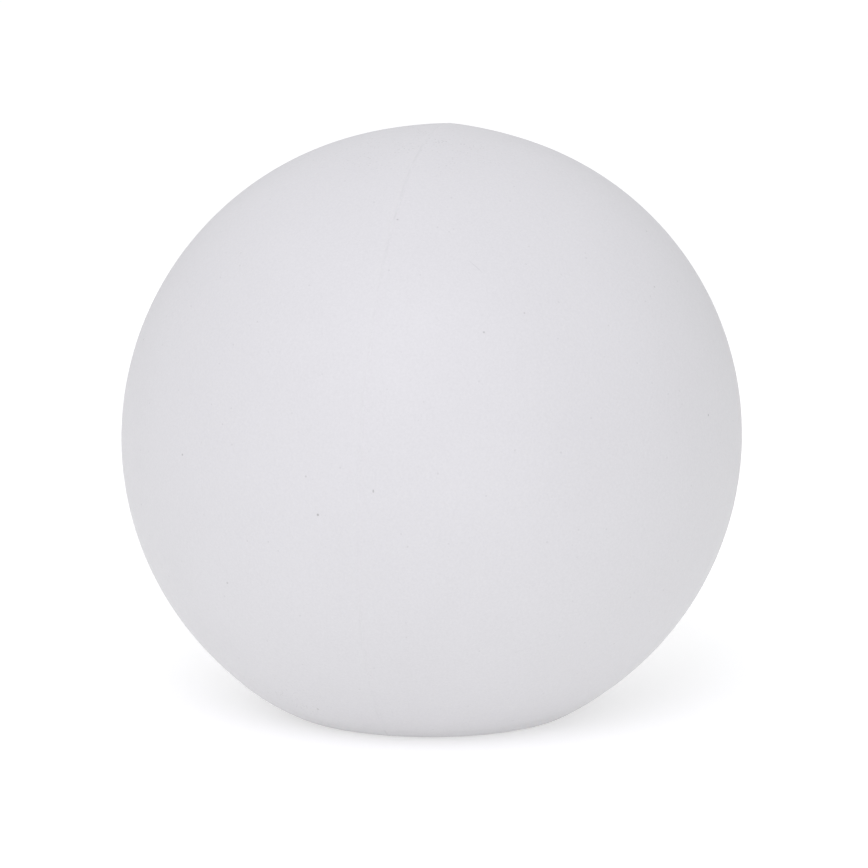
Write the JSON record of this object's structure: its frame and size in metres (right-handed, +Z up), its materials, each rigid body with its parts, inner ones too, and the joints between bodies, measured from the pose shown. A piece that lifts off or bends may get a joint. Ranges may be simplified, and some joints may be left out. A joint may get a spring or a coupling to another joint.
{
  "type": "floating pool light",
  "caption": "Hollow white polyethylene globe with a flat seat, and a sealed battery light module that screws into its base.",
  "frame": {"origin": "centre of the flat seat, on the plane that the globe stands on", "axes": "+Z up through the globe's crown and the module's screw axis; the grip bar in the base runs along X, with the charging port at +X and the power button at -X"},
  "size_m": [0.3, 0.3, 0.283],
  "materials": {
    "polyethylene": "translucent white polyethylene, matt and slightly waxy, with a fine mottle",
    "white_abs": "white ABS, fine satin texture",
    "grey_silicone": "grey silicone rubber, matt",
    "black_plastic": "black nylon, satin",
    "frosted_lens": "frosted polycarbonate",
    "stainless_steel": "turned stainless steel",
    "zinc_steel": "zinc plated steel",
    "aluminium": "brushed aluminium",
    "brass": "nickel plated brass",
    "green_board": "green solder mask over glass laminate",
    "white_board": "white solder mask",
    "cell_wrap": "blue heat-shrink sleeve",
    "led_package": "white package with a yellow phosphor",
    "nylon": "natural nylon",
    "red_wire": "red insulation"
  },
  "bodies": {
    "globe": {"globe_shell": "polyethylene", "neck_gasket": "grey_silicone", "neck_ring": "white_abs", "neck_screw_1": "stainless_steel", "neck_screw_2": "stainless_steel", "neck_screw_3": "stainless_steel", "neck_screw_4": "stainless_steel", "neck_screw_5": "stainless_steel", "neck_screw_6": "stainless_steel"},
    "seal": {"module_seal": "grey_silicone"},
    "module": {"module_housing": "white_abs", "ballast_plate": "zinc_steel", "battery_cradle": "white_abs", "battery_cell_1": "cell_wrap", "battery_cell_2": "cell_wrap", "battery_link_1": "zinc_steel", "battery_link_2": "zinc_steel", "battery_clamp": "white_abs", "clamp_screw_1": "stainless_steel", "clamp_screw_2": "stainless_steel", "io_board": "green_board", "io_board_screw_1": "stainless_steel", "io_board_screw_2": "stainless_steel", "charge_jack": "black_plastic", "switch_body": "black_plastic", "button_boot": "grey_silicone", "control_board": "green_board", "control_chip": "black_plastic", "battery_connector": "nylon", "io_connector": "nylon", "led_connector": "nylon", "spacer_1": "brass", "spacer_2": "brass", "heat_spreader": "aluminium", "spreader_screw_1": "stainless_steel", "spreader_screw_2": "stainless_steel", "led_board": "white_board", "ir_receiver": "black_plastic", "led_1": "led_package", "led_2": "led_package", "led_3": "led_package", "led_4": "led_package", "led_5": "led_package", "led_6": "led_package", "led_7": "led_package", "led_8": "led_package", "lens_seal": "grey_silicone", "lens_dome": "frosted_lens", "lens_screw_1": "stainless_steel", "lens_screw_2": "stainless_steel", "lens_screw_3": "stainless_steel", "lens_screw_4": "stainless_steel", "battery_lead": "red_wire", "io_lead": "black_plastic", "led_lead": "red_wire", "plug_strap": "grey_silicone"},
    "button": {"power_button": "grey_silicone"},
    "plunger": {"switch_plunger": "white_abs"},
    "plug": {"charge_plug": "grey_silicone"}
  },
  "joints": [
    {"name": "module_travel", "type": "slide", "parent": "globe", "child": "seal", "axis": [0, 0, -1], "range_m": [0, 0.01205]},
    {"name": "module_twist", "type": "hinge", "parent": "seal", "child": "module", "pos_m": [0, 0, 0.02], "axis": [0, 0, -1], "range_deg": [0, 720]},
    {"name": "button_press", "type": "slide", "parent": "module", "child": "button", "axis": [0, 0, 1], "range_m": [0, 0.001], "stiffness_N_per_m": 1500, "deforming": ["button_boot"]},
    {"name": "plunger_press", "type": "slide", "parent": "module", "child": "plunger", "axis": [0, 0, 1], "range_m": [0, 0.00101]},
    {"name": "plug_pull", "type": "slide", "parent": "module", "child": "plug", "axis": [0, 0, -1], "range_m": [0, 0.006], "deforming": ["plug_strap"]}
  ],
  "couplings": [
    {"joint": "module_travel", "follows": "module_twist", "m_per_rad": 0.00095493},
    {"joint": "plunger_press", "follows": "button_press", "ratio": 1}
  ]
}
